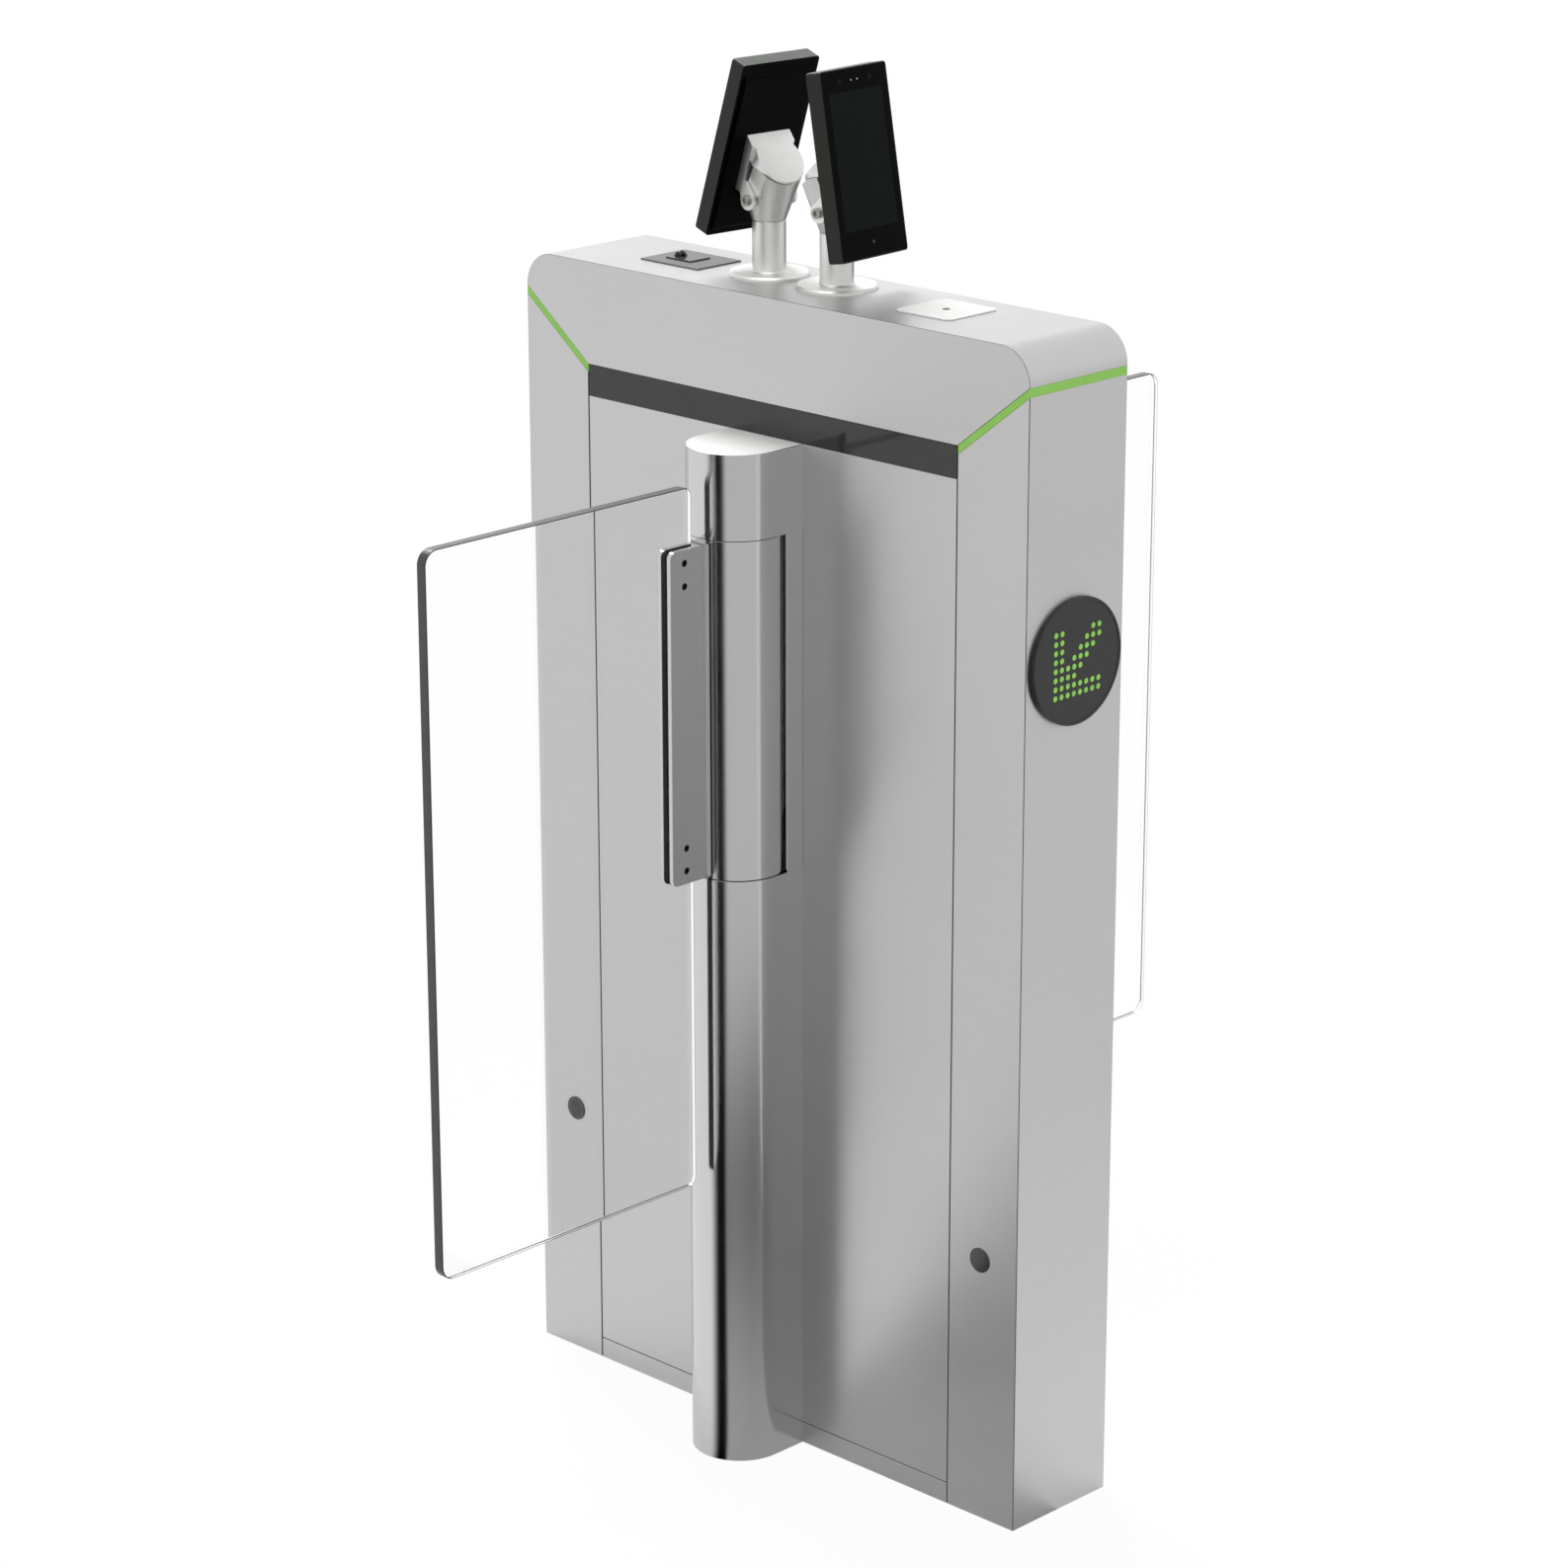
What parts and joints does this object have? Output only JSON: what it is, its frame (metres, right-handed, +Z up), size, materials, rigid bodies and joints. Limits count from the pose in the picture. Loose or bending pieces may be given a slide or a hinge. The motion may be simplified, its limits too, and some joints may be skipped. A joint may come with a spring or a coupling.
{
  "type": "swing turnstile",
  "caption": "Slim steel middle cabinet with a glass wing swinging on a round column on each long side, green light strips, and two face terminals on poles on its flat top.",
  "frame": {"origin": "on the floor under the middle of the cabinet", "axes": "+X along the cabinet towards the right end post, the front wing reaches to -Y and the back wing to +Y, +Z up"},
  "size_m": [0.5944, 0.892, 1.2194],
  "materials": {
    "galvanised": "zinc-coated folded steel, matt",
    "brushed_steel": "fine horizontal brush",
    "polished_steel": "finely brushed to near mirror, strong vertical reflections",
    "smoked_acrylic": "dark smoked, glossy",
    "green_light": "green light diffuser",
    "sensor_black": "dark infrared lens",
    "black_plastic": "moulded black",
    "display_window": "dark grey printed window",
    "bearing_steel": "ground steel",
    "motor_black": "black lacquer",
    "cast_aluminium": "turned and cast",
    "circuit_board": "solder mask",
    "scanner_grey": "dark grey, fine texture",
    "scanner_black": "gloss black",
    "reader_white": "white reader cover",
    "satin_aluminium": "satin, bead-blasted and anodised",
    "rubber": "black gasket sheet",
    "clear_glass": "clear toughened glass with polished edges",
    "screw_black": "black oxide",
    "terminal_black": "fine textured black case",
    "terminal_glass": "gloss black front glass"
  },
  "bodies": {
    "cabinet": {"base_plate": "galvanised", "uprights": "galvanised", "top_beam": "galvanised", "cross_rails": "galvanised", "left_end_post": "brushed_steel", "right_end_post": "brushed_steel", "front_panel": "brushed_steel", "back_panel": "brushed_steel", "plinth_strips": "brushed_steel", "top_cover": "brushed_steel", "light_bands": "smoked_acrylic", "left_light_strip": "green_light", "right_light_strip": "green_light", "sensor_lenses": "sensor_black", "sensor_barrels": "black_plastic", "arrow_bezels": "black_plastic", "arrow_windows": "display_window", "arrow_leds": "green_light", "front_upper_housing": "polished_steel", "back_upper_housing": "polished_steel", "front_lower_housing": "polished_steel", "back_lower_housing": "polished_steel", "side_plates": "polished_steel", "bearing_carriers": "galvanised", "wing_bearings": "bearing_steel", "drive_motors": "motor_black", "gearboxes": "cast_aluminium", "control_board": "circuit_board", "power_supply": "galvanised", "scanner_plate": "scanner_grey", "scanner_window": "scanner_black", "scanner_dome": "scanner_black", "card_reader_plate": "reader_white", "card_reader_eye": "sensor_black", "pole_stands": "satin_aluminium"},
    "front_wing": {"front_drum": "polished_steel", "front_drum_hubs": "cast_aluminium", "front_wing_shaft": "bearing_steel", "front_clamp_plates": "polished_steel", "front_glass_gaskets": "rubber", "front_glass_wing": "clear_glass", "front_clamp_screws": "screw_black"},
    "back_wing": {"back_drum": "polished_steel", "back_drum_hubs": "cast_aluminium", "back_wing_shaft": "bearing_steel", "back_clamp_plates": "polished_steel", "back_glass_gaskets": "rubber", "back_glass_wing": "clear_glass", "back_clamp_screws": "screw_black"},
    "left_swivel": {"left_neck": "satin_aluminium"},
    "left_head": {"left_bracket": "satin_aluminium", "left_pivot_screw": "bearing_steel", "left_terminal_case": "terminal_black", "left_terminal_glass": "terminal_glass"},
    "right_swivel": {"right_neck": "satin_aluminium"},
    "right_head": {"right_bracket": "satin_aluminium", "right_pivot_screw": "bearing_steel", "right_terminal_case": "terminal_black", "right_terminal_glass": "terminal_glass"}
  },
  "joints": [
    {"name": "front_wing_swing", "type": "hinge", "parent": "cabinet", "child": "front_wing", "pos_m": [0, -0.0955, 0.6], "axis": [0, 0, 1], "range_deg": [-90, 90]},
    {"name": "back_wing_swing", "type": "hinge", "parent": "cabinet", "child": "back_wing", "pos_m": [0, 0.0955, 0.6], "axis": [0, 0, 1], "range_deg": [-90, 90]},
    {"name": "left_terminal_pan", "type": "hinge", "parent": "cabinet", "child": "left_swivel", "pos_m": [-0.0645, 0.01, 1.0975], "axis": [0, 0, 1], "range_deg": [-30, 30]},
    {"name": "left_terminal_tilt", "type": "hinge", "parent": "left_swivel", "child": "left_head", "pos_m": [-0.0645, 0.01, 1.0975], "axis": [0.0785, 0.9969, 0], "range_deg": [-18.5, 6.5]},
    {"name": "right_terminal_pan", "type": "hinge", "parent": "cabinet", "child": "right_swivel", "pos_m": [0.015, 0.01, 1.0975], "axis": [0, 0, 1], "range_deg": [-30, 30]},
    {"name": "right_terminal_tilt", "type": "hinge", "parent": "right_swivel", "child": "right_head", "pos_m": [0.015, 0.01, 1.0975], "axis": [0.061, -0.9981, 0], "range_deg": [-9.5, 15.5]}
  ]
}
